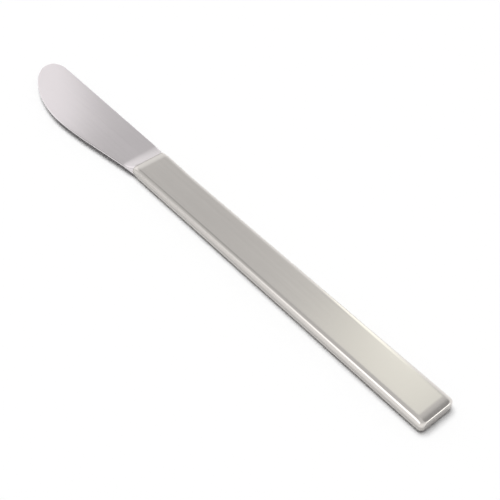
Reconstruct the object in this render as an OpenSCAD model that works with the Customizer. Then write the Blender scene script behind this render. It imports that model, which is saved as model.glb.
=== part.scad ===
// Table knife with a short round-ended blade and a welded hollow handle, lying flat.
// X runs from the tip to the butt, +Y is the spine side and +Z is up.
// The origin is the middle of the handle's underside, on which the knife lies.

/* [Handle] */
// Length from the shoulder joint to the butt
handle_len = 135.5; // [110:0.1:150]
// Width across the flat faces
handle_w = 13.3; // [12:0.1:14]
// Thickness between the flat faces
handle_t = 5; // [4.6:0.1:6]
// Wall of the two pressed shells
wall = 0.8; // [0.6:0.05:0.9]
// How far the long edges round over onto the flat faces
edge_over = 1.6; // [1.2:0.1:2.2]
// How far the long edges round down onto the sides
edge_down = 1.75; // [1.2:0.05:1.8]
// Corner radius of the butt, seen from above
butt_corner = 1.4; // [1:0.1:3]
// Length over which the flat faces roll off to the butt
butt_roll = 3.2; // [2:0.1:6]
// How far they roll down there
butt_drop = 0.9; // [0.5:0.05:1.1]

/* [Shoulder] */
// Length of the hollow-ground cove from the blade's flat to the joint
cove_len = 6; // [4:0.1:8]
// Length of the round crest from the joint to the handle's flat
crest_len = 3.2; // [2.4:0.1:7]
// Thickness at the joint
joint_t = 4.2; // [3.6:0.05:4.4]
// How far the spine side of the handle widens towards the joint
flare = 0.4; // [0:0.05:0.8]
// Length over which it widens
flare_len = 20; // [8:0.5:30]

/* [Blade] */
// Length from the tip to the shoulder joint
blade_len = 74.6; // [64:0.1:84]
// Spine thickness at the heel
heel_t = 2; // [1.6:0.1:2.4]
// Spine thickness near the tip
tip_t = 1.3; // [1:0.1:1.6]
// Thickness of the blunt table edge
edge_t = 0.6; // [0.4:0.05:0.8]
// Height of the spine over the handle's axis, near the tip
spine_tip_y = 8.1; // [7.4:0.1:9]
// Height of the spine over the handle's axis, at the heel
spine_heel_y = 7.2; // [6.8:0.1:7.6]
// Height of the foremost point of the tip over the handle's axis
tip_y = 3.5; // [2:0.1:5]
// Depth of the belly below the handle's axis
belly_y = 11.55; // [10:0.05:14]
// Distance from the tip to the deepest point of the belly
belly_len = 32; // [26:1:38]
// Fullness of the curve from the tip to the belly, where 2 is an ellipse
belly_power = 1.76; // [1.6:0.02:2.2]
// Depth of the heel below the handle's axis
heel_y = 7.6; // [7.2:0.05:9]
// Rise of the cutting edge for each millimetre at the heel
heel_slope = 0.12; // [0.05:0.01:0.25]
// Rise of the cutting edge for each millimetre where it meets the joint
neck_slope = 0.25; // [0:0.01:0.3]

/* [Tang] */
// Length of the tang behind the shoulder joint
tang_len = 46; // [30:1:60]
// Width of the tang at its root
tang_root_w = 8; // [7:0.1:9]
// Width of the tang at its end
tang_end_w = 5.2; // [4.6:0.1:6]
// Thickness of the tang
tang_t = 1.6; // [1.2:0.1:1.7]
// Radius of the half-round keys cut in the tang's sides
key_r = 1; // [0.6:0.1:1.2]

/* [Joints] */
// Thickness of the braze between bolster and shells
braze_t = 0.2; // [0.1:0.05:0.3]
// Thickness of the weld between the two shells
weld_t = 0.3; // [0.2:0.05:0.5]

/* [Hidden] */
joint_x = -handle_len / 2;
butt_x = handle_len / 2;
tip_x = joint_x - blade_len;
heel_x = joint_x - cove_len;
belly_x = tip_x + belly_len;
half_w = handle_w / 2;
half_t = handle_t / 2;

// Length of the round from the tip's foremost point up to the spine
tip_spine_len = 7;
// Length over which the spine thins to the edge's thickness round the tip
tip_thin_len = 16;
// Length over which the tip's foremost edge is rounded, and where its first section is taken
tip_round_len = 0.9;
tip_start = 0.04;
// Rounding of the spine's and of the cutting edge's corners, as [across, down]
spine_round = [0.4, 0.35];
edge_round = [0.4, 0.26];
// How late the cove's curve rises towards the joint
cove_power = 1.3;
handle_round = [edge_over, edge_down];
cavity_round = [edge_over - wall, 0.3];

// Flat steps in each quarter round
corner_steps = 6;
tip_steps = 14;
blade_steps = 14;
shoulder_steps = 9;
flare_steps = 5;
butt_steps = 9;

// The mouth of the handle, and where the filling starts behind it
mouth_x = joint_x + braze_t / 2;
filler_x = mouth_x + 1;
spigot_len = 3;
key_places = [18, 30];
// Overlap of cutting shapes past what they cut
past = 1;

blade_steel = [0.80, 0.785, 0.79];
handle_steel = [0.72, 0.71, 0.685];
weld_steel = [0.68, 0.67, 0.65];
braze_metal = [0.66, 0.64, 0.58];
cement = [0.62, 0.60, 0.56];

function mix(a, b, u) = a + (b - a) * u;
function limit(u) = max(0, min(1, u));

// One quarter of a superellipse: 1 at u = 0, falling to 0 at u = 1
function quarter(u, power) = pow(1 - pow(limit(u), power), 1 / power);

// A smooth curve from one [x, y, slope] to another
function ease(from, to, x) =
    let (span = to[0] - from[0], u = (x - from[0]) / span, v = 1 - u)
    v * v * (1 + 2 * u) * from[1] + u * u * (1 + 2 * v) * to[1]
        + span * u * v * (v * from[2] - u * to[2]);

// Distance from the tip, held off it by the width of its first section
function from_tip(x) = max(x - tip_x, tip_start);

// How far the handle's spine side stands out towards the joint
function flare_y(x) =
    let (end = joint_x + flare_len)
    ease([joint_x, flare, 0], [end, 0, 0], max(joint_x, min(end, x)));

// Outline of the blade from above: the spine
function spine_y(x) =
    x < tip_x + tip_spine_len ?
        mix(tip_y, spine_tip_y, quarter(1 - from_tip(x) / tip_spine_len, 2)) :
    x < heel_x ?
        mix(spine_tip_y, spine_heel_y, (x - tip_x - tip_spine_len) / (heel_x - tip_x - tip_spine_len)) :
        ease([heel_x, spine_heel_y, 0], [joint_x, half_w + flare, 0], x);

// Outline of the blade from above: round the tip, down to the belly and back up to the heel
function edge_y(x) =
    x < belly_x ?
        mix(tip_y, -belly_y, quarter(1 - from_tip(x) / belly_len, belly_power)) :
    x < heel_x ?
        ease([belly_x, -belly_y, 0], [heel_x, -heel_y, heel_slope], x) :
        ease([heel_x, -heel_y, heel_slope], [joint_x, -half_w, neck_slope], x);

// Share of its thickness that the tip's rounded foremost edge has reached
function tip_round(x) = quarter(1 - from_tip(x) / tip_round_len, 2);

// Half thickness of the ground blade at its cutting edge
function edge_half(x) = edge_t / 2 * tip_round(x);

// Half thickness of the ground blade at its spine, thinning to the edge round the tip
function spine_half(x) =
    let (ground = mix(tip_t, heel_t, limit((x - tip_x) / (heel_x - tip_x))) / 2)
    mix(edge_t / 2, ground, quarter(1 - from_tip(x) / tip_thin_len, 2)) * tip_round(x);

// The cove swells the ground blade to the joint's thickness
function cove(half, x) = mix(half, joint_t / 2, pow(limit((x - heel_x) / cove_len), cove_power));

// How far the flat faces have rolled down towards the butt
function roll(x) = butt_drop * (1 - quarter((x - butt_x + butt_roll) / butt_roll, 2));

// Half thickness of the handle: a round crest at the shoulder, a roll-off at the butt
function handle_half(x) =
    let (crest = limit((joint_x + crest_len - x) / crest_len))
    half_t - (half_t - joint_t / 2) * crest * crest - roll(x);

// Half width of the handle with the butt's corners rounded
function handle_side(x, corner, end) = half_w - corner * (1 - quarter((x - end + corner) / corner, 2));

// One upper corner of a section, as [y, share of the half thickness], swept up from the side
function corner(side, inward, down) =
    [for (i = [0 : corner_steps]) let (t = 90 * i / corner_steps)
        [side + inward * (1 - cos(t)), 1 - down * (1 - sin(t))]];

function reversed(list) = [for (i = [len(list) - 1 : -1 : 0]) list[i]];

// A section at x: two sides with half thicknesses and [across, down] rounds, tapering between them
function section(x, spine, edge, spine_h, edge_h, spine_r, edge_r) =
    let (
        room = min(1, 0.9 * (spine - edge) / (spine_r[0] + edge_r[0])),
        upper = concat(
            corner(spine, -spine_r[0] * room, min(0.87, spine_r[1] / spine_h)),
            reversed(corner(edge, edge_r[0] * room, min(0.87, edge_r[1] / edge_h)))
        ),
        outline = concat(upper, [for (p = reversed(upper)) [p[0], -p[1]]])
    )
    [for (p = outline)
        [x, p[0], half_t + p[1] * mix(edge_h, spine_h, (p[0] - edge) / (spine - edge))]];

function blade_section(x) =
    let (u = limit((x - heel_x) / cove_len))
    section(
        x, spine_y(x), edge_y(x), cove(spine_half(x), x), cove(edge_half(x), x),
        mix(spine_round, handle_round, u), mix(edge_round, handle_round, u)
    );

// The sides' rounding grows shallower as the flat faces roll down to the butt
function handle_section(x) =
    let (
        side = handle_side(x, butt_corner, butt_x),
        half = handle_half(x),
        round = handle_round - [0, roll(x)]
    )
    section(x, side + flare_y(x), -side, half, half, round, round);

function cavity_section(x) =
    let (
        side = handle_side(x, butt_corner - wall, butt_x - wall) - wall,
        half = max(cavity_round[1], handle_half(x < 0 ? max(x, mouth_x) : x + wall) - wall)
    )
    section(x, side, -side, half, half, cavity_round, cavity_round);

// Places of sections, close together where a round ends
function spread(from, len, steps) = [for (i = [0 : steps]) from + len * (1 - cos(90 * i / steps))];
function even(from, to, steps) = [for (i = [1 : steps]) mix(from, to, i / steps)];
function mouth_places() = concat(
    even(mouth_x, joint_x + crest_len, shoulder_steps),
    even(joint_x + crest_len, joint_x + flare_len, flare_steps)
);
function butt_places(end) = [for (i = [0 : butt_steps]) end - butt_roll * (1 - sin(90 * i / butt_steps))];

// A solid skinned over a row of sections, closed at both ends
module loft(sections) {
    count = len(sections[0]);
    last = len(sections) - 1;
    points = [for (s = sections) each s];
    sides = [for (i = [0 : last - 1], j = [0 : count - 1])
        let (a = i * count + j, b = i * count + (j + 1) % count)
        each [[a, b + count, b], [a, a + count, b + count]]];
    ends = [for (j = [1 : count - 2])
        each [[0, j, j + 1], [last * count, last * count + j + 1, last * count + j]]];
    polyhedron(points = points, faces = concat(sides, ends));
}

module handle_body() {
    places = concat([mouth_x], mouth_places(), butt_places(butt_x));
    loft([for (x = places) handle_section(x)]);
}

module handle_cavity() {
    places = concat([mouth_x - past, mouth_x], mouth_places(), butt_places(butt_x - wall));
    loft([for (x = places) cavity_section(x)]);
}

module slab(bottom, top) {
    translate([joint_x - past, -handle_w, bottom])
        cube([handle_len + 2 * past, 2 * handle_w, top - bottom]);
}

// Ground blade and bolster, from the tip to the joint
module forged_blade() {
    places = concat(
        spread(tip_x, 20, tip_steps),
        even(tip_x + 20, heel_x, blade_steps),
        even(heel_x, joint_x - braze_t / 2, shoulder_steps)
    );
    loft([for (x = places) blade_section(x)]);
}

// Tapered flat tang with half-round keys, behind a spigot that fills the handle's mouth
module tang() {
    spigot_side = half_w - wall;
    translate([0, 0, half_t - tang_t / 2])
        linear_extrude(tang_t)
            difference() {
                polygon([
                    [joint_x - braze_t, -spigot_side],
                    [joint_x + spigot_len, -spigot_side],
                    [joint_x + spigot_len, -tang_root_w / 2],
                    [joint_x + tang_len, -tang_end_w / 2],
                    [joint_x + tang_len, tang_end_w / 2],
                    [joint_x + spigot_len, tang_root_w / 2],
                    [joint_x + spigot_len, spigot_side],
                    [joint_x - braze_t, spigot_side]
                ]);
                for (place = key_places, side = [-1, 1])
                    translate([joint_x + place, side * mix(tang_root_w, tang_end_w, place / tang_len) / 2])
                        circle(key_r, $fn = 48);
            }
}

module handle_shell() {
    difference() {
        intersection() {
            handle_body();
            slab(half_t + weld_t / 2, handle_t + past);
        }
        handle_cavity();
    }
}

module blade() {
    color(blade_steel) {
        forged_blade();
        tang();
    }
}

module handle_shell_upper() {
    color(handle_steel) handle_shell();
}

module handle_shell_lower() {
    color(handle_steel)
        translate([0, 0, handle_t])
            mirror([0, 0, 1])
                handle_shell();
}

// Weld ground flush along both sides and round the butt
module handle_weld() {
    color(weld_steel)
        difference() {
            intersection() {
                handle_body();
                slab(half_t - weld_t / 2, half_t + weld_t / 2);
            }
            handle_cavity();
        }
}

// Thin frame of braze that shows as the fine line across the shoulder
module shoulder_braze() {
    color(braze_metal)
        difference() {
            loft([for (x = [joint_x - braze_t / 2, mouth_x]) handle_section(x)]);
            tang();
            handle_cavity();
        }
}

// Cement cast round the tang, which it locks into the handle
module handle_filler() {
    color(cement)
        difference() {
            intersection() {
                handle_cavity();
                translate([filler_x, -handle_w, 0])
                    cube([handle_len, 2 * handle_w, handle_t]);
            }
            tang();
        }
}

blade();
handle_shell_upper();
handle_shell_lower();
handle_weld();
shoulder_braze();
handle_filler();
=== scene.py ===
"""A table knife in satin steel, lying on a white studio floor.

The forged blade and the two pressed handle shells are lofted from the same family of rounded sections, so
the cove of the bolster runs on into the crest of the handle. Everything is in metres, in the frame of the
part.
"""

from math import cos, pi, radians, sin

import bpy
import numpy as np
from mathutils import Matrix, Vector


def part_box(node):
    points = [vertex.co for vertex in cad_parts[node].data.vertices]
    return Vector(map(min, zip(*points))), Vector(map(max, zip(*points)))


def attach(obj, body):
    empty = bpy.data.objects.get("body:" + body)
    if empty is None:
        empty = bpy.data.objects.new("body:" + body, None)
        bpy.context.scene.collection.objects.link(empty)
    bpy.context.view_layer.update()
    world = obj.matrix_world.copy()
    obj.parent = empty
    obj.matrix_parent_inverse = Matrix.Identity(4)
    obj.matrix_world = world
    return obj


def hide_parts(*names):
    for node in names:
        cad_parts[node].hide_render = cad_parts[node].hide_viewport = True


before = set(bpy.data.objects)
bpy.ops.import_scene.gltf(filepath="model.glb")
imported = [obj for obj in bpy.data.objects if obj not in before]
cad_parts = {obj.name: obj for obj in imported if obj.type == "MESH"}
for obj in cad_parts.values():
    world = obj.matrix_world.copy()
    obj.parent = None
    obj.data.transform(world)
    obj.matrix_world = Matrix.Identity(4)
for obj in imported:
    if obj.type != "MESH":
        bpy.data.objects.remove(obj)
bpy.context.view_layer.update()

MM = 0.001

# Sizes that the frame gives
blade_low, blade_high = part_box("blade")
upper_low, upper_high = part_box("handle_shell_upper")
weld_low, weld_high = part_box("handle_weld")
braze_low, braze_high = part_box("shoulder_braze")
filler_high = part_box("handle_filler")[1]

TIP_X = blade_low.x
JOINT_X = (braze_low.x + braze_high.x) / 2
BUTT_X = upper_high.x
BRAZE_T = braze_high.x - braze_low.x
MOUTH_X = braze_high.x
WELD_T = weld_high.z - weld_low.z
HALF_W = -upper_low.y
HALF_T = upper_high.z / 2
WALL = HALF_W - filler_high.y
SPINE_TIP_Y = blade_high.y
BELLY_Y = blade_low.y
TANG_END_X = blade_high.x

# Handle: each rounding is given by its reach in from the side and its reach down from the top
EDGE_ROUND = (1.6 * MM, 1.75 * MM)
FAR_REACH = 2.2 * MM
FAR_LEN = 80.0 * MM
CAVITY_ROUND = (EDGE_ROUND[0] - WALL, 0.3 * MM)
BUTT_CORNER = 1.4 * MM
BUTT_ROLL = 3.2 * MM
BUTT_DROP = 0.9 * MM
FOLD_GAP = 0.01 * MM

# Shoulder
COVE_LEN = 6.0 * MM
COVE_POWER = 1.8
CREST_LEN = 3.2 * MM
JOINT_HALF = 2.1 * MM
FLARE = upper_high.y - HALF_W
FLARE_LEN = 20.0 * MM
BRAZE_SINK = 0.05 * MM

# Blade
HEEL_X = JOINT_X - COVE_LEN
HEEL_T = 2.0 * MM
TIP_T = 1.3 * MM
EDGE_T = 0.6 * MM
SPINE_HEEL_Y = 7.2 * MM
TIP_Y = 3.5 * MM
BELLY_LEN = 32.0 * MM
BELLY_X = TIP_X + BELLY_LEN
BELLY_POWER = 1.76
HEEL_Y = -7.6 * MM
HEEL_SLOPE = 0.12
NECK_SLOPE = 0.25
TIP_SPINE_LEN = 7.0 * MM
TIP_THIN_LEN = 16.0 * MM
TIP_CLOSE_LEN = 0.9 * MM
SPINE_ROUND = (0.4 * MM, 0.35 * MM)
CUT_ROUND = (0.4 * MM, 0.26 * MM)

# Tang
SPIGOT_X = JOINT_X + 3.0 * MM
TANG_ROOT_W = 8.0 * MM
TANG_END_W = 5.2 * MM
TANG_T = 1.6 * MM
KEY_R = 1.0 * MM
KEY_PLACES = (18.0 * MM, 30.0 * MM)
TANG_ROUND = (0.15 * MM, 0.15 * MM)

# The most of a half thickness that one rounding takes, and of a width that two take
ROUND_LIMIT = 0.87
WIDTH_LIMIT = 0.9

# Wear and painted shade on the handle: how much painted shade its upper corners get at the shoulder, and
# the length at the butt over which wear with a painted highlight runs
SHOULDER_SHADE = 0.75
BUTT_SHEEN_LEN = 0.35 * BUTT_ROLL

# Steps of the grids, round a section and then along the pieces
CORNER_STEPS = 14
FLAT_STEPS = 22
SIDE_STEPS = 5
TIP_GRID_LEN = 20.0 * MM
TIP_STEPS = 90
BLADE_STEPS = 60
COVE_STEPS = 30
KEY_STEPS = 17
CREST_STEPS = 28
GRIP_STEPS = 46
ROLL_STEPS = 44
WELD_FLARE_STEPS = 20
WELD_SIDE_STEPS = 30
WELD_TURN_STEPS = 25
SHARP_ANGLE = radians(38)

# Camera of the photograph: its focal length in pixels of a square frame
FRAME_PX = 500
FOCAL_PX = 900
CAMERA_AZIMUTH = radians(50.16)
CAMERA_ELEVATION = radians(46.6)
CAMERA_DISTANCE = 291.67 * MM
CAMERA_TARGET = Vector((-14.92 * MM, 2.298 * MM, 0.0))

# White paper of the floor: its level in light that it spreads, and as it is seen
FLOOR_REACH = 3.0
PAPER_SPREAD = 0.7
PAPER_SEEN = 1.0

# Lamp over the paper, in degrees: azimuth from +X, elevation and width. From straight overhead, a level
# of 1 shows white paper as white.
LAMP_PLACE = (190, 78)
LAMP_WIDTH = 40
LAMP_LEVEL = 0.80

# Dome: the level it fills shadows with, its levels low and high, and the elevations where they change
DOME_FILL = 0.22
DOME_LOW = 0.85
DOME_HIGH = 0.7
DOME_CHANGE = (32.5, 39.8)
HORIZON_LIGHT = 0.14
HORIZON_CHANGE = (33, 13)

# Panels of the dome, in degrees: azimuth, elevation, how far from there each is full, and how far it
# reaches. A fifth number is the level that the panel adds.
LOW_PANELS = {
    "left": (261, 24, 10, 27, 0.95),
    "front": (30, 8, 6, 18, 1.7),
    "behind_tip": (178, 22, 6, 18, 0.3),
    "left_of_tip": (217, 18, 6, 22, -0.15),
}
HIGH_PANELS = {
    "over_tip": (215, 52, 14, 32, -0.05),
    "behind_shoulder": (147, 41.5, 1, 6, -0.07),
    "beside_ridge": (181, 54, 1, 12, -0.34),
}
BACK_PANEL = (125, 53.5, 0, 7.5)
BACK_LIGHT = {"Red": 0.60, "Green": 0.61, "Blue": 0.52}
RIGHT_PANEL = (50, 48, 8, 32)
RIGHT_SHADE = 0.5


def mix(a, b, u):
    """The value a share u of the way from a to b."""
    return a + (b - a) * u


def limit(u):
    """u held between 0 and 1."""
    return np.clip(u, 0.0, 1.0)


def quarter(u, power=2.0):
    """One quarter of a superellipse: 1 at u = 0, falling to 0 at u = 1."""
    return (1 - limit(u) ** power) ** (1 / power)


def ease(start, end, x):
    """A cubic from one (x, y, slope) to another."""
    span = end[0] - start[0]
    u = (x - start[0]) / span
    v = 1 - u
    ends = v * v * (1 + 2 * u) * start[1] + u * u * (1 + 2 * v) * end[1]
    return ends + span * u * v * (v * start[2] - u * end[2])


def spine_line(x):
    """Outline of the spine from above: a quarter ellipse up from the tip, a straight fall to the heel, and
    an eased step in to the handle's side."""
    tip_end = TIP_X + TIP_SPINE_LEN
    tip = mix(TIP_Y, SPINE_TIP_Y, quarter(1 - (x - TIP_X) / TIP_SPINE_LEN))
    back = mix(SPINE_TIP_Y, SPINE_HEEL_Y, (x - tip_end) / (HEEL_X - tip_end))
    neck = ease((HEEL_X, SPINE_HEEL_Y, 0), (JOINT_X, HALF_W + FLARE, 0), x)
    return np.where(x < tip_end, tip, np.where(x < HEEL_X, back, neck))


def edge_line(x):
    """Outline of the cutting edge from above: a quarter superellipse from the tip to the belly, a cubic up
    to the heel, and another in to the handle's side."""
    tip = mix(TIP_Y, BELLY_Y, quarter((BELLY_X - x) / BELLY_LEN, BELLY_POWER))
    heel = (HEEL_X, HEEL_Y, HEEL_SLOPE)
    belly = ease((BELLY_X, BELLY_Y, 0), heel, x)
    neck = ease(heel, (JOINT_X, -HALF_W, NECK_SLOPE), x)
    return np.where(x < BELLY_X, tip, np.where(x < HEEL_X, belly, neck))


# Each section is one row: x, the y of its spine side and edge side, the half height at each, and how far
# the rounding at each reaches in and down
def blade_rows(x):
    """Sections of the ground blade and bolster: the spine thins from heel to tip and meets the edge's
    thickness round the tip, and a power curve swells both to the joint's thickness along the cove."""
    ground = mix(TIP_T, HEEL_T, limit((x - TIP_X) / (HEEL_X - TIP_X))) / 2
    close = quarter(1 - (x - TIP_X) / TIP_CLOSE_LEN)
    spine_h = mix(EDGE_T / 2, ground, quarter(1 - (x - TIP_X) / TIP_THIN_LEN)) * close
    edge_h = EDGE_T / 2 * close
    along = limit((x - HEEL_X) / COVE_LEN)
    heights = [mix(h, JOINT_HALF, along**COVE_POWER) for h in (spine_h, edge_h)]
    rounds = [mix(a, b, along) for a, b in zip(SPINE_ROUND + CUT_ROUND, EDGE_ROUND + EDGE_ROUND)]
    rounds[1] = np.minimum(rounds[1], ROUND_LIMIT * heights[0])
    rounds[3] = np.minimum(rounds[3], ROUND_LIMIT * heights[1])
    return np.stack([x, spine_line(x), edge_line(x), *heights, *rounds], axis=1)


def butt_roll(x):
    """How far the flat faces have rolled down towards the butt, along a quarter ellipse."""
    return BUTT_DROP * (1 - quarter((x - BUTT_X + BUTT_ROLL) / BUTT_ROLL))


def handle_half(x):
    """Half thickness of the handle: a parabola up over the crest of the shoulder, and the butt's roll."""
    crest = limit((JOINT_X + CREST_LEN - x) / CREST_LEN)
    return HALF_T - (HALF_T - JOINT_HALF) * crest**2 - butt_roll(x)


def flare(x):
    """How far the handle's spine side stands out towards the joint: a cubic that is level at both ends."""
    end = JOINT_X + FLARE_LEN
    return ease((JOINT_X, FLARE, 0), (end, 0, 0), np.clip(x, JOINT_X, end))


def even_rows(x, spine, edge, half, rounding, far_reach=None):
    """Sections of one height on both sides, whose rounding may reach further in on the spine side."""
    reach, down = rounding
    far_reach = reach if far_reach is None else far_reach
    rounds = [np.broadcast_to(r, x.shape) for r in (far_reach, down, reach, down)]
    return np.stack([x, spine, edge, half, half, *rounds], axis=1)


def handle_rows(x):
    """Sections of the handle's outside: its butt has quarter round corners from above, and the rounding of
    the sides grows shallower as the flat faces roll down to it."""
    side = HALF_W - BUTT_CORNER * (1 - quarter((x - BUTT_X + BUTT_CORNER) / BUTT_CORNER))
    rounding = (EDGE_ROUND[0], EDGE_ROUND[1] - butt_roll(x))
    far_reach = mix(EDGE_ROUND[0], FAR_REACH, limit((x - JOINT_X) / FAR_LEN))
    return even_rows(x, side + flare(x), -side, handle_half(x), rounding, far_reach)


def cavity_rows(x):
    """Sections of the handle's hollow: the outside, moved in by one wall."""
    corner = BUTT_CORNER - WALL
    end = BUTT_X - WALL
    side = HALF_W - WALL - corner * (1 - quarter((x - end + corner) / corner))
    half = handle_half(np.where(x < 0, np.maximum(x, MOUTH_X), x + WALL)) - WALL
    return even_rows(x, side, -side, np.maximum(half, CAVITY_ROUND[1]), CAVITY_ROUND)


def half_section(rows, rim):
    """Upper half of each section as two arrays, y and the height over the mid-plane, from the rim on the
    spine side over the top to the rim on the edge side. The corners are arcs of ellipses joined by straight
    lines, and the heights scale with a half thickness that runs straight from the edge to the spine."""
    _, spine, edge, spine_h, edge_h, spine_in, spine_down, edge_in, edge_down = rows.T[..., None]
    room = np.minimum(1, WIDTH_LIMIT * (spine - edge) / (spine_in + edge_in))
    spine_in, edge_in = spine_in * room, edge_in * room
    spine_down, edge_down = spine_down / spine_h, edge_down / edge_h
    turn = np.linspace(0, np.pi / 2, CORNER_STEPS + 1)
    back = turn[::-1]
    flat = np.linspace(0, 1, FLAT_STEPS + 1)[1:-1]
    side = np.linspace(0, 1, SIDE_STEPS + 1)[:-1]
    spine_y = spine - spine_in * (1 - np.cos(turn))
    spine_z = 1 - spine_down * (1 - np.sin(turn))
    edge_y = edge + edge_in * (1 - np.cos(back))
    edge_z = 1 - edge_down * (1 - np.sin(back))
    y = np.concatenate([
        spine + 0 * side,
        spine_y,
        mix(spine_y[:, -1:], edge_y[:, :1], flat),
        edge_y,
        edge + 0 * side,
    ], axis=1)
    z = np.concatenate([
        mix(rim / spine_h, spine_z[:, :1], side),
        spine_z,
        mix(spine_z[:, -1:], edge_z[:, :1], flat),
        edge_z,
        mix(rim / edge_h, edge_z[:, -1:], side[::-1]),
    ], axis=1)
    return y, z * mix(edge_h, spine_h, (y - edge) / (spine - edge))


def wear_and_sheen_half():
    """How much wear with a painted highlight each point of a half section gets: half a sine wave over each
    corner, and nothing on the flats."""
    side = np.zeros(SIDE_STEPS)
    corner = np.sin(np.linspace(0, np.pi, CORNER_STEPS + 1))
    return np.concatenate([side, corner, np.zeros(FLAT_STEPS - 1), corner, side])


def painted_shade_half(at_corner):
    """How much painted shade, with extra roughness, each point of the half sections gets: fully along the
    weld, evenly down to each section's own share at the corners, and from there to nothing by a parabola
    over them."""
    side = mix(1, at_corner, np.linspace(0, 1, SIDE_STEPS + 1)[:-1])
    corner = at_corner * (1 - np.linspace(0, 1, CORNER_STEPS + 1)) ** 2
    flat = np.zeros((len(at_corner), FLAT_STEPS - 1))
    return np.concatenate([side, corner, flat, corner[:, ::-1], side[:, ::-1]], axis=1)


def points_at(x, y, height):
    """Points from stations x, and y and height over the mid-plane at each."""
    return np.stack([np.broadcast_to(x[:, None], y.shape), y, HALF_T + height], axis=-1)


def whole_rings(rows):
    """Closed rings: the upper half of each section and its mirror image below the mid-plane."""
    y, z = half_section(rows, 0.0)
    y = np.concatenate([y, y[:, -2:0:-1]], axis=1)
    z = np.concatenate([z, -z[:, -2:0:-1]], axis=1)
    return points_at(rows[:, 0], y, z)


def wear_and_sheen_ring():
    """How much wear with a painted highlight each point of a closed ring gets."""
    half = wear_and_sheen_half()
    return np.concatenate([half, half[-2:0:-1]])


def in_scene(name, data):
    """A new object in the scene that holds a mesh, a lamp or a lens."""
    made = bpy.data.objects.new(name, data)
    bpy.context.scene.collection.objects.link(made)
    return made


def mark(mesh, label, values):
    """Gives each point of a mesh a value."""
    attribute = mesh.attributes.new(label, "FLOAT", "POINT")
    attribute.data.foreach_set("value", np.ravel(values).astype(np.float32))


def skin(name, rings, marks, looped=False, strips=False):
    """A mesh over a grid of rings: quads from each ring to the next, in a closed loop or closed at both
    ends, by one flat face each or, on a folded ring, by a strip of quads between its two halves."""
    count, around = rings.shape[:2]
    first = np.arange(count if looped else count - 1)[:, None] * around
    here = np.arange(around)[None, :]
    after = (here + 1) % around
    ahead = (first + around) % (count * around)
    quads = np.stack([first + here, first + after, ahead + after, ahead + here], axis=-1).reshape(-1, 4)
    faces = quads.tolist()
    last = (count - 1) * around
    if strips:
        near = np.arange(around // 2 - 1)
        strip = np.stack([near, near + 1, around - 2 - near, around - 1 - near], axis=1)
        faces += strip[:, ::-1].tolist() + (strip + last).tolist()
    elif not looped:
        faces += [list(range(around))[::-1], list(range(last, last + around))]
    mesh = bpy.data.meshes.new(name)
    mesh.from_pydata(rings.reshape(-1, 3).tolist(), [], faces)
    for label, values in marks.items():
        mark(mesh, label, values)
    mesh.shade_smooth()
    mesh.set_sharp_from_angle(angle=SHARP_ANGLE)
    return in_scene(name, mesh)


def stand_in(piece, node, material):
    """Puts a finished piece on the knife in place of its plain node."""
    piece.data.materials.append(material)
    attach(piece, "root")
    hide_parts(node)


def crowded(start, end, steps):
    """Stations that crowd together at the start of a stretch, by a cosine."""
    return start + (end - start) * (1 - np.cos(np.linspace(0, np.pi / 2, steps + 1)[1:]))


def tang_rows():
    """Sections behind the joint: the spigot that fills the handle's mouth, then the tapered tang, whose
    sides have half-round keys."""
    spigot_x = np.array([JOINT_X - BRAZE_T / 2, SPIGOT_X])
    key = KEY_R * np.sin(np.linspace(-np.pi / 2, np.pi / 2, KEY_STEPS))
    keys = np.concatenate([JOINT_X + at + key for at in KEY_PLACES])
    tang_x = np.concatenate([[SPIGOT_X], keys, [TANG_END_X]])
    taper = mix(TANG_ROOT_W, TANG_END_W, (tang_x - SPIGOT_X) / (TANG_END_X - SPIGOT_X)) / 2
    reach = np.min([np.abs(tang_x - JOINT_X - at) for at in KEY_PLACES], axis=0)
    taper -= KEY_R * quarter(reach / KEY_R)
    x = np.concatenate([spigot_x, tang_x])
    side = np.concatenate([np.full(2, HALF_W - WALL), taper])
    return even_rows(x, side, -side, np.full_like(x, TANG_T / 2), TANG_ROUND)


def build_blade():
    """The forging in one skin, from the tip over the bolster to the end of the tang."""
    tip_end = TIP_X + TIP_GRID_LEN
    x = np.concatenate([
        crowded(TIP_X, tip_end, TIP_STEPS),
        np.linspace(tip_end, HEEL_X, BLADE_STEPS)[1:],
        np.linspace(HEEL_X, JOINT_X - BRAZE_T / 2, COVE_STEPS)[1:],
    ])
    rings = whole_rings(np.concatenate([blade_rows(x), tang_rows()]))
    # Wear with a painted highlight over the corners of every section
    return skin("forged_blade", rings, {"wear_and_sheen": np.tile(wear_and_sheen_ring(), (len(rings), 1))})


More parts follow.
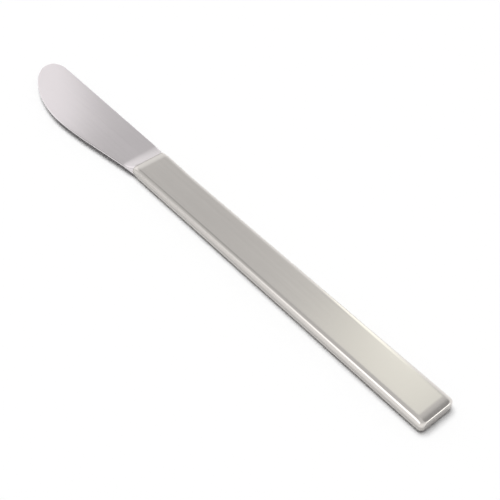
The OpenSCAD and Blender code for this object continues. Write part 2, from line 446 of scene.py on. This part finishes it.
def build_shell(name, up):
    """One pressed half of the handle, above the weld where up is 1 and below it where up is -1. Each ring
    runs over the outside and back along the hollow, which is folded flat onto the rim inside the butt's end
    wall. Wear with a painted highlight grows along the ridges from the shoulder to the butt and swells over
    the crest and the butt's roll. Painted shade darkens the sides next to the weld, the lower shell's
    corners, the end wall, and the upper shell's corners most at the shoulder."""
    wall_x = BUTT_X - WALL
    roll = np.linspace(0, np.pi / 2, ROLL_STEPS)
    x = np.sort(np.concatenate([
        np.linspace(MOUTH_X, JOINT_X + CREST_LEN, CREST_STEPS),
        np.linspace(JOINT_X + CREST_LEN, BUTT_X - BUTT_ROLL, GRIP_STEPS)[1:],
        BUTT_X - BUTT_ROLL * (1 - np.sin(roll[1:])),
        [wall_x - FOLD_GAP, wall_x],
    ]))
    hollow_x = np.minimum(x, wall_x - FOLD_GAP)
    out_y, out_z = half_section(handle_rows(x), WELD_T / 2)
    in_y, in_z = half_section(cavity_rows(hollow_x), WELD_T / 2)
    in_y = np.clip(in_y, out_y[:, -1:], out_y[:, :1])
    in_z = np.where(x[:, None] < wall_x, in_z, WELD_T / 2)
    y = np.concatenate([out_y, in_y[:, ::-1]], axis=1)
    z = np.concatenate([out_z, in_z[:, ::-1]], axis=1)
    rings = points_at(x, y, up * z)

    along = limit((x - MOUTH_X) / (BUTT_X - MOUTH_X))[:, None]
    crest = limit((x - MOUTH_X) / CREST_LEN)[:, None]
    end = limit((x - BUTT_X + BUTT_SHEEN_LEN) / BUTT_SHEEN_LEN)[:, None]
    # Wear with a painted highlight: growing along the ridges towards the butt, and swelling over the crest
    # and the butt's roll
    ridges = along * wear_and_sheen_half()
    wear_and_sheen = np.concatenate([ridges, np.zeros_like(ridges)], axis=1)
    wear_and_sheen = np.maximum(wear_and_sheen, np.maximum(np.sin(np.pi * end), np.sin(np.pi * crest)))
    # Painted shade, which also makes the surface rougher: full next to the weld, over the lower shell's
    # corners, and over the upper shell's corners most at the shoulder
    painted_shade = painted_shade_half(SHOULDER_SHADE * (1 - along) if up > 0 else np.ones_like(along))
    sides = np.concatenate([painted_shade, np.zeros_like(painted_shade)], axis=1)
    # Painted shade over the whole end wall
    sides[-1] = 1
    if up < 0:
        rings, wear_and_sheen, sides = rings[:, ::-1], wear_and_sheen[:, ::-1], sides[:, ::-1]
    return skin(name, rings, {"wear_and_sheen": wear_and_sheen, "sides": sides}, strips=True)


def build_weld():
    """The weld, ground flush: a band of the weld's thickness whose outer edge follows the handle's plan at
    mid-height from the mouth round the butt and back, and whose inner edge follows the hollow's."""
    turn = np.linspace(0, np.pi / 2, WELD_TURN_STEPS)
    flare_end = JOINT_X + FLARE_LEN
    long_x = np.concatenate([
        np.linspace(MOUTH_X, flare_end, WELD_FLARE_STEPS),
        np.linspace(flare_end, BUTT_X - BUTT_CORNER, WELD_SIDE_STEPS)[1:-1],
    ])
    reach = np.array([BUTT_CORNER, BUTT_CORNER - WALL])
    corner_x = BUTT_X - BUTT_CORNER + np.sin(turn)[:, None] * reach
    corner_y = HALF_W - BUTT_CORNER + np.cos(turn)[:, None] * reach
    side_x = np.concatenate([np.stack([long_x, long_x], axis=1), corner_x])
    inner_y = np.full_like(long_x, HALF_W - WALL)
    spine_y = np.concatenate([np.stack([HALF_W + flare(long_x), inner_y], axis=1), corner_y])
    edge_y = np.concatenate([np.stack([HALF_W + 0 * long_x, inner_y], axis=1), corner_y])
    x = np.concatenate([side_x, side_x[::-1]])
    y = np.concatenate([spine_y, -edge_y[::-1]])
    low, high = np.full_like(x, HALF_T - WELD_T / 2), np.full_like(x, HALF_T + WELD_T / 2)
    outer, inner = 0, 1
    rings = np.stack([
        np.stack([x[:, side], y[:, side], z[:, side]], axis=1)
        for side, z in ((outer, low), (outer, high), (inner, high), (inner, low))
    ], axis=1)
    # Painted shade over the whole weld, which is also rougher
    return skin("weld_strip", rings, {"sides": np.ones(rings.shape[:2])})


def build_braze():
    """The braze line: a closed frame round the mouth whose outer face sinks a little between its edges."""
    x = JOINT_X + BRAZE_T * np.array([-0.5, -0.25, 0, 0.25, 0.5])
    depth = BRAZE_SINK * np.array([0, 0.8, 1, 0.8, 0])
    half = np.where(x < JOINT_X, JOINT_HALF, handle_half(x))
    outer = whole_rings(even_rows(x, HALF_W + flare(x) - depth, depth - HALF_W, half - depth, EDGE_ROUND))
    ends = x[[-1, 0]]
    side = np.full(2, HALF_W - WALL)
    inner = whole_rings(even_rows(ends, side, -side, np.full(2, TANG_T / 2), TANG_ROUND))
    return skin("braze_line", np.concatenate([outer, inner]), {}, looped=True)


class Socket:
    """A socket of a node tree on which Python's operators add Math nodes."""

    def __init__(self, tree, socket=None):
        self.tree = tree
        self.socket = socket

    def node(self, kind, inputs=None, output=0, **settings):
        """Adds a node with its settings and the values or links of its sockets, and gives one output."""
        made = self.tree.nodes.new(kind)
        for name, value in settings.items():
            setattr(made, name, value)
        for name, value in (inputs or {}).items():
            if isinstance(value, Socket):
                self.tree.links.new(value.socket, made.inputs[name])
            else:
                made.inputs[name].default_value = value
        return Socket(self.tree, made.outputs[output]) if made.outputs else None

    def math(self, operation, a, b):
        """Adds a Math node on two sockets or numbers."""
        return self.node("ShaderNodeMath", {0: a, 1: b}, operation=operation)

    def __add__(self, other):
        return self.math("ADD", self, other)

    def __radd__(self, other):
        return self.math("ADD", other, self)

    def __sub__(self, other):
        return self.math("SUBTRACT", self, other)

    def __rsub__(self, other):
        return self.math("SUBTRACT", other, self)

    def __mul__(self, other):
        return self.math("MULTIPLY", self, other)

    def __rmul__(self, other):
        return self.math("MULTIPLY", other, self)


def new_tree(owner):
    """The empty node tree of a material or world."""
    owner.use_nodes = True
    owner.node_tree.nodes.clear()
    return Socket(owner.node_tree)


def noise(tree, size, detail=2.0):
    """Soft noise whose grains have the given size along x, y and z."""
    at = tree.node("ShaderNodeTexCoord", output="Object")
    scale = tuple(1 / s for s in size)
    scaled = tree.node("ShaderNodeVectorMath", {0: at, 1: scale}, operation="MULTIPLY")
    return tree.node("ShaderNodeTexNoise", {"Vector": scaled, "Scale": 1.0, "Detail": detail}, output="Fac")


def ramp(tree, value, start, end):
    """0 where a value is at the start, rising softly to 1 where it is at the end."""
    edges = {"Value": value, "From Min": start, "From Max": end}
    return tree.node("ShaderNodeMapRange", edges, interpolation_type="SMOOTHSTEP")


def blended(tree, share, low, high):
    """A colour a share of the way from one socket or RGBA value to another."""
    ends = {"Factor": share, "A": low, "B": high}
    return tree.node("ShaderNodeMix", ends, output=2, data_type="RGBA")


def tinted(tree, share, low, high):
    """A colour a share of the way from one RGB value to another."""
    return blended(tree, share, (*low, 1), (*high, 1))


def shade(colour, by):
    """A colour made lighter or darker."""
    return tuple(c * by for c in colour)


def satin_steel(name, colour, roughness, grain_width):
    """Steel brushed along its length: fine and broad streaks, faint clouds in its colour, worn edges that
    are smoother and brighter with a painted highlight, and sides that are rougher and darkened by painted
    shade."""
    material = bpy.data.materials.new(name)
    tree = new_tree(material)
    fine = noise(tree, (22 * MM, grain_width, grain_width))
    broad = noise(tree, (60 * MM, 5 * grain_width, 5 * grain_width), 3.0)
    cloud = noise(tree, (26 * MM, 9 * MM, 9 * MM), 1.0)
    wear_and_sheen = tree.node("ShaderNodeAttribute", attribute_name="wear_and_sheen", output="Fac")
    sides = tree.node("ShaderNodeAttribute", attribute_name="sides", output="Fac")
    tone = 0.4 * cloud + 0.35 * broad + 0.25 * fine
    brushed = tinted(tree, tone, shade(colour, 0.92), shade(colour, 1.08))
    # Real wear with a painted highlight: the worn corners, the crest and the butt's roll are lighter
    bright = tinted(tree, broad, shade(colour, 1.08), shade(colour, 1.16))
    # Painted shade: the sides are darker
    shaded_colour = tinted(tree, broad, shade(colour, 0.66), shade(colour, 0.80))
    base = blended(tree, sides, blended(tree, wear_and_sheen, brushed, bright), shaded_colour)
    streaks = 0.05 * (broad - 0.5) + 0.05 * (cloud - 0.5) + 0.04 * (fine - 0.5)
    rough = roughness + streaks - 0.06 * wear_and_sheen + 0.08 * sides
    relief = 0.7 * fine + 0.3 * broad
    normal = tree.node("ShaderNodeBump", {"Height": relief, "Distance": 0.001 * MM, "Strength": 1.0})
    surface = tree.node("ShaderNodeBsdfPrincipled", {
        "Base Color": base, "Metallic": 1.0, "Roughness": rough, "Normal": normal
    })
    tree.node("ShaderNodeOutputMaterial", {"Surface": surface})
    return material


def dull_braze(name):
    """Braze left as it set: darker and duller than the steel, with a fine mottle."""
    material = bpy.data.materials.new(name)
    tree = new_tree(material)
    mottle = noise(tree, (0.4 * MM, 0.4 * MM, 0.4 * MM), 3.0)
    base = tinted(tree, mottle, (0.42, 0.40, 0.36), (0.54, 0.51, 0.46))
    surface = tree.node("ShaderNodeBsdfPrincipled", {
        "Base Color": base, "Metallic": 1.0, "Roughness": 0.42 + 0.15 * mottle
    })
    tree.node("ShaderNodeOutputMaterial", {"Surface": surface})
    return material


def grey_cement(name):
    """Cast cement with sandy grains in paler and darker patches."""
    material = bpy.data.materials.new(name)
    tree = new_tree(material)
    sand = noise(tree, (0.35 * MM, 0.35 * MM, 0.35 * MM), 4.0)
    patch = noise(tree, (6 * MM, 4 * MM, 4 * MM), 3.0)
    base = tinted(tree, 0.5 * sand + 0.5 * patch, (0.30, 0.285, 0.26), (0.54, 0.52, 0.47))
    normal = tree.node("ShaderNodeBump", {"Height": sand, "Distance": 0.12 * MM, "Strength": 1.0})
    surface = tree.node("ShaderNodeBsdfPrincipled", {
        "Base Color": base, "Roughness": 0.8 + 0.2 * patch, "Normal": normal
    })
    tree.node("ShaderNodeOutputMaterial", {"Surface": surface})
    return material


def seen_directly(tree):
    """1 for rays from the camera, and from there off metal or through glass, and 0 for light that paper
    has spread."""
    kinds = ("Is Camera Ray", "Is Glossy Ray", "Is Transmission Ray")
    straight, mirrored, through = [tree.node("ShaderNodeLightPath", output=kind) for kind in kinds]
    spread = tree.node("ShaderNodeLightPath", output="Diffuse Depth")
    return (straight + mirrored + through) * (1 - tree.math("MINIMUM", spread, 1.0))


def white_floor():
    """A plain square of white paper at the height of the handle's underside."""
    far = FLOOR_REACH
    mesh = bpy.data.meshes.new("floor")
    mesh.from_pydata([(-far, -far, 0), (far, -far, 0), (far, far, 0), (-far, far, 0)], [], [(0, 1, 2, 3)])
    floor = in_scene("floor", mesh)
    material = bpy.data.materials.new("white_paper")
    tree = new_tree(material)
    level = mix(PAPER_SPREAD, PAPER_SEEN, seen_directly(tree))
    colour = tree.node("ShaderNodeCombineColor", {"Red": level, "Green": level, "Blue": level})
    surface = tree.node("ShaderNodeBsdfDiffuse", {"Color": colour})
    tree.node("ShaderNodeOutputMaterial", {"Surface": surface})
    mesh.materials.append(material)


def direction(azimuth, elevation):
    """The unit vector towards an azimuth from +X and an elevation, in degrees."""
    a, e = radians(azimuth), radians(elevation)
    return Vector((cos(a) * cos(e), sin(a) * cos(e), sin(e)))


def panel(tree, towards, azimuth, elevation, inner, outer):
    """1 within the inner angle of a direction, falling softly to 0 at the outer angle."""
    between = {0: towards, 1: direction(azimuth, elevation)}
    near = tree.node("ShaderNodeVectorMath", between, output="Value", operation="DOT_PRODUCT")
    return ramp(tree, near, cos(radians(outer)), cos(radians(inner)))


def light_of(tree, towards, panels):
    """The light that several panels add, each its level times its share."""
    return sum(level * panel(tree, towards, *spread) for *spread, level in panels.values())


def soft_dome():
    """Soft studio light as the metal shows it: a dome that is pale low down and greyer above, with bright
    panels low to the left, in front and behind the tip, darker patches between and over them, a warm panel
    high at the back, and the dark side of the room to the right. The paper gets an even fill instead."""
    world = bpy.data.worlds.new("soft_dome")
    bpy.context.scene.world = world
    tree = new_tree(world)
    towards = tree.node("ShaderNodeTexCoord", output="Generated")
    height = tree.node("ShaderNodeSeparateXYZ", {"Vector": towards}, output="Z")
    upper = ramp(tree, height, *(sin(radians(e)) for e in DOME_CHANGE))
    horizon = ramp(tree, height, *(sin(radians(e)) for e in HORIZON_CHANGE))
    low = DOME_LOW + HORIZON_LIGHT * horizon + light_of(tree, towards, LOW_PANELS)
    room = mix(low, DOME_HIGH, upper) + light_of(tree, towards, HIGH_PANELS)
    room = room * (1 - RIGHT_SHADE * panel(tree, towards, *RIGHT_PANEL))
    back = panel(tree, towards, *BACK_PANEL)
    shown = tree.node("ShaderNodeCombineColor", {
        channel: room + level * back for channel, level in BACK_LIGHT.items()
    })
    colour = blended(tree, seen_directly(tree), (DOME_FILL, DOME_FILL, DOME_FILL, 1), shown)
    light = tree.node("ShaderNodeBackground", {"Color": colour, "Strength": 1.0})
    tree.node("ShaderNodeOutputWorld", {"Surface": light})
    world.cycles.sampling_method = "NONE"


def paper_light():
    """A large soft lamp overhead, a little to the tip's side, that lights the paper and doesn't show in the
    metal."""
    lamp = bpy.data.lights.new("paper_light", "SUN")
    lamp.energy = LAMP_LEVEL * pi
    lamp.angle = radians(LAMP_WIDTH)
    light = in_scene("paper_light", lamp)
    light.rotation_euler = direction(*LAMP_PLACE).to_track_quat("Z", "Y").to_euler()
    light.visible_glossy = False


def soft_card(name, corner, across, up, colour, fade):
    """A glowing card that only the metal shows: from one corner it runs across and up, and fades by a share
    of its own at each of its four edges."""
    mesh = bpy.data.meshes.new(name)
    corner, across, up = Vector(corner), Vector(across), Vector(up)
    mesh.from_pydata([corner, corner + across, corner + across + up, corner + up], [], [(0, 1, 2, 3)])
    mark(mesh, "across", (0, 1, 1, 0))
    mark(mesh, "up", (0, 0, 1, 1))
    card = in_scene(name, mesh)
    material = bpy.data.materials.new(name)
    tree = new_tree(material)
    share = 1.0
    for label, (near, far) in zip(("across", "up"), fade):
        along = tree.node("ShaderNodeAttribute", attribute_name=label, output="Fac")
        for value, reach in ((along, near), (1 - along, far)):
            if reach:
                share = share * ramp(tree, value, 0.0, reach)
    glow = tree.node("ShaderNodeEmission", {"Color": (*colour, 1), "Strength": 1.0})
    clear = tree.node("ShaderNodeBsdfTransparent")
    surface = tree.node("ShaderNodeMixShader", {0: share, 1: clear, 2: glow})
    tree.node("ShaderNodeOutputMaterial", {"Surface": surface})
    mesh.materials.append(material)
    card.visible_camera = False
    card.visible_diffuse = False
    card.visible_shadow = False


def photo_camera():
    """The camera where the photograph was taken from."""
    a, e = CAMERA_AZIMUTH, CAMERA_ELEVATION
    back = Vector((sin(a) * cos(e), -cos(a) * cos(e), sin(e)))
    right = Vector((cos(a), sin(a), 0))
    up = back.cross(right)
    lens = bpy.data.cameras.new("camera")
    lens.sensor_width = 36
    lens.lens = lens.sensor_width * FOCAL_PX / FRAME_PX
    lens.clip_start = 0.01
    camera = in_scene("camera", lens)
    turn = Matrix((right, up, back)).transposed().to_4x4()
    camera.matrix_world = Matrix.Translation(CAMERA_TARGET + back * CAMERA_DISTANCE) @ turn
    bpy.context.scene.camera = camera


blade_steel = satin_steel("blade_steel", (0.67, 0.635, 0.645), 0.19, 0.16 * MM)
handle_steel = satin_steel("handle_steel", (0.66, 0.63, 0.60), 0.21, 0.20 * MM)
weld_steel = satin_steel("weld_steel", (0.65, 0.62, 0.59), 0.26, 0.20 * MM)

stand_in(build_blade(), "blade", blade_steel)
stand_in(build_shell("handle_upper", 1), "handle_shell_upper", handle_steel)
stand_in(build_shell("handle_lower", -1), "handle_shell_lower", handle_steel)
stand_in(build_weld(), "handle_weld", weld_steel)
stand_in(build_braze(), "shoulder_braze", dull_braze("braze_metal"))

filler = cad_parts["handle_filler"]
filler.data.materials.clear()
filler.data.materials.append(grey_cement("cement"))

white_floor()
soft_dome()
paper_light()
soft_card(
    "tip_card",
    corner=(-0.2, -0.1, 0),
    across=(0, 0.16, 0),
    up=(0, 0, 0.12),
    colour=(1.15, 1.14, 1.15),
    fade=((0, 0.2), (0, 0.35)),
)
soft_card(
    "far_card",
    corner=(-0.042, 0.1, 0),
    across=(0.07, 0, 0),
    up=(0, 0, 0.19),
    colour=(1.5, 1.52, 1.42),
    fade=((0.34, 0.5), (0, 0.52)),
)
photo_camera()
bpy.context.scene.view_settings.view_transform = "Standard"
